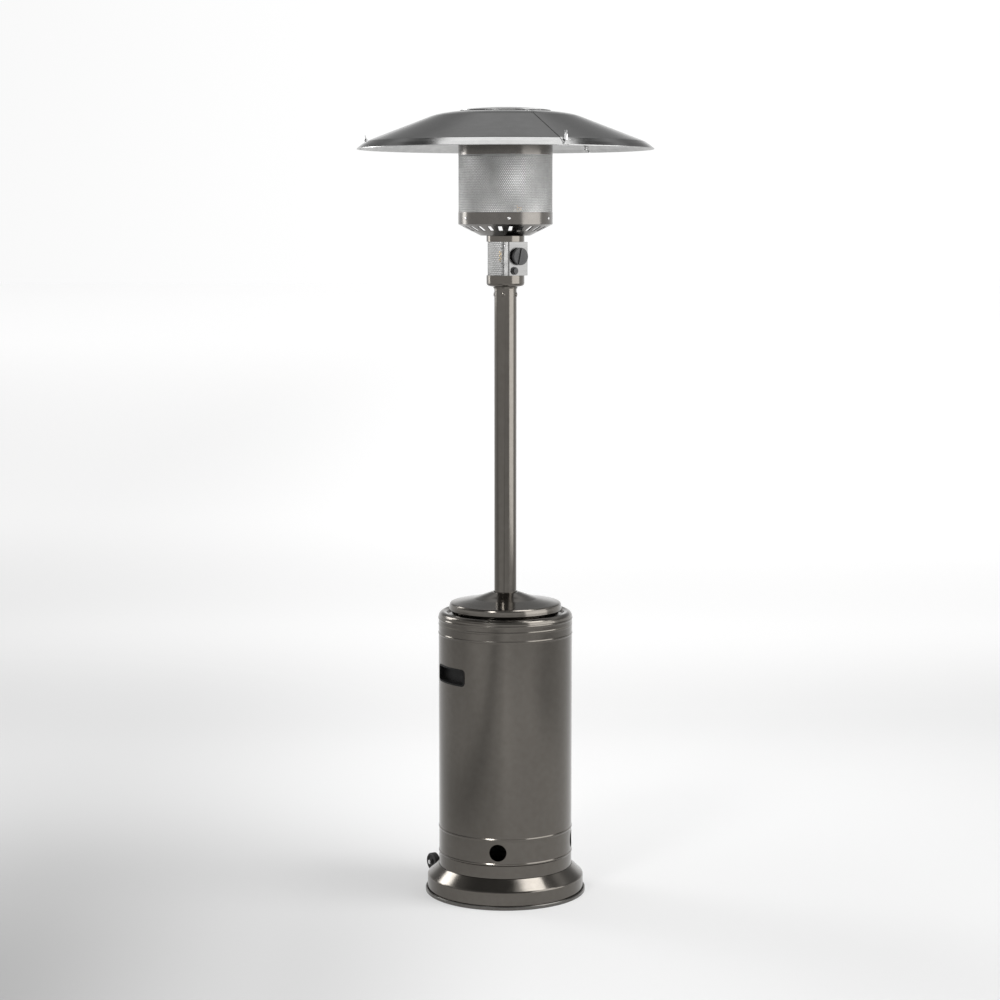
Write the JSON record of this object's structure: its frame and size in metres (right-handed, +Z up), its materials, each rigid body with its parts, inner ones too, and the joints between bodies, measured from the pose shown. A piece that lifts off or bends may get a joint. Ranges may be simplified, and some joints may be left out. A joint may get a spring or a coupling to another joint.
{
  "type": "outdoor patio heater",
  "caption": "Free-standing mushroom gas patio heater: domed reflector over a perforated emitter on a post, with a lift-up round tank housing on a stamped wheeled base.",
  "frame": {"origin": "on the floor under the post axis, at the underside of the base", "axes": "+Z up along the post; -Y is the front with the control box, knob and button; the transport wheels are at +Y; +X is to the right for someone who looks at the front along +Y"},
  "size_m": [0.8194, 0.8195, 2.204],
  "materials": {
    "gunmetal_paint": "glossy",
    "ring_paint": "glossy",
    "emitter_trim": "satin",
    "reflector_metal": "satin",
    "screen_steel": "satin",
    "panel_metal": "satin",
    "black_plastic": "satin",
    "black_steel": "satin",
    "wheel_plastic": "matte",
    "hose_rubber": "matte",
    "brass": "satin",
    "cast_metal": "matte",
    "zinc": "bright",
    "ceramic": "satin"
  },
  "bodies": {
    "stand": {"base_plate": "ring_paint", "base_cover": "gunmetal_paint", "tank_ring": "black_steel", "leg_back": "black_steel", "leg_right": "black_steel", "leg_left": "black_steel", "leg_bolts": "zinc", "post_socket": "black_steel", "socket_screws": "zinc", "post": "gunmetal_paint", "post_screws": "gunmetal_paint", "lower_collar": "gunmetal_paint", "head_sleeve": "screen_steel", "upper_collar": "gunmetal_paint", "control_box": "panel_metal", "box_screws": "zinc", "gas_valve": "brass", "igniter_body": "black_plastic", "igniter_bezel": "black_plastic", "tilt_switch": "black_plastic", "gas_hose": "hose_rubber", "regulator": "cast_metal", "gas_tube": "brass", "burner_cup": "screen_steel", "burner_plate": "screen_steel", "pilot_bracket": "black_steel", "pilot_tube": "brass", "thermocouple": "brass", "spark_electrode": "ceramic", "burner_pan": "emitter_trim", "pan_screws": "zinc", "emitter_band": "emitter_trim", "band_screws": "zinc", "emitter_screen": "screen_steel", "top_band": "emitter_trim", "top_baffle": "reflector_metal", "reflector_studs": "zinc", "stud_spacers": "zinc", "stud_nuts": "zinc", "reflector_panel_a": "reflector_metal", "reflector_panel_b": "reflector_metal", "reflector_panel_c": "reflector_metal", "reflector_cap": "reflector_metal", "seam_bolts": "zinc", "wing_nuts": "zinc", "wheel_bracket": "black_steel", "wheel_axle": "zinc", "axle_nuts": "zinc"},
    "housing": {"tank_housing": "gunmetal_paint", "handle_cup_left": "black_plastic", "handle_cup_right": "black_plastic", "housing_lid": "gunmetal_paint", "lid_screws": "zinc"},
    "valve_stem": {"valve_plug": "brass"},
    "knob": {"knob": "black_plastic", "knob_stem": "zinc"},
    "button": {"igniter_button": "black_plastic"},
    "wheel_left": {"wheel_left": "wheel_plastic"},
    "wheel_right": {"wheel_right": "wheel_plastic"},
    "coupling_nut": {"coupling_nut": "black_plastic"}
  },
  "joints": [
    {"name": "housing_lift", "type": "slide", "parent": "stand", "child": "housing", "axis": [0, 0, 1], "range_m": [0, 0.5]},
    {"name": "knob_turn", "type": "hinge", "parent": "stand", "child": "valve_stem", "pos_m": [0, -0.05, 1.797], "axis": [0, -1, 0], "range_deg": [0, 180]},
    {"name": "knob_push", "type": "slide", "parent": "valve_stem", "child": "knob", "axis": [0, 1, 0], "range_m": [0, 0.004], "stiffness_N_per_m": 1200, "springref_m": -0.002},
    {"name": "button_push", "type": "slide", "parent": "stand", "child": "button", "axis": [0, 1, 0], "range_m": [0, 0.005], "stiffness_N_per_m": 1200, "springref_m": -0.002},
    {"name": "wheel_left_spin", "type": "hinge", "parent": "stand", "child": "wheel_left", "pos_m": [-0.095, 0.24, 0.0386], "axis": [1, 0, 0], "continuous": true},
    {"name": "wheel_right_spin", "type": "hinge", "parent": "stand", "child": "wheel_right", "pos_m": [0.095, 0.24, 0.0386], "axis": [1, 0, 0], "continuous": true},
    {"name": "coupling_nut_spin", "type": "hinge", "parent": "stand", "child": "coupling_nut", "pos_m": [0, 0.125, 0.585], "axis": [0, 1, 0], "continuous": true}
  ]
}
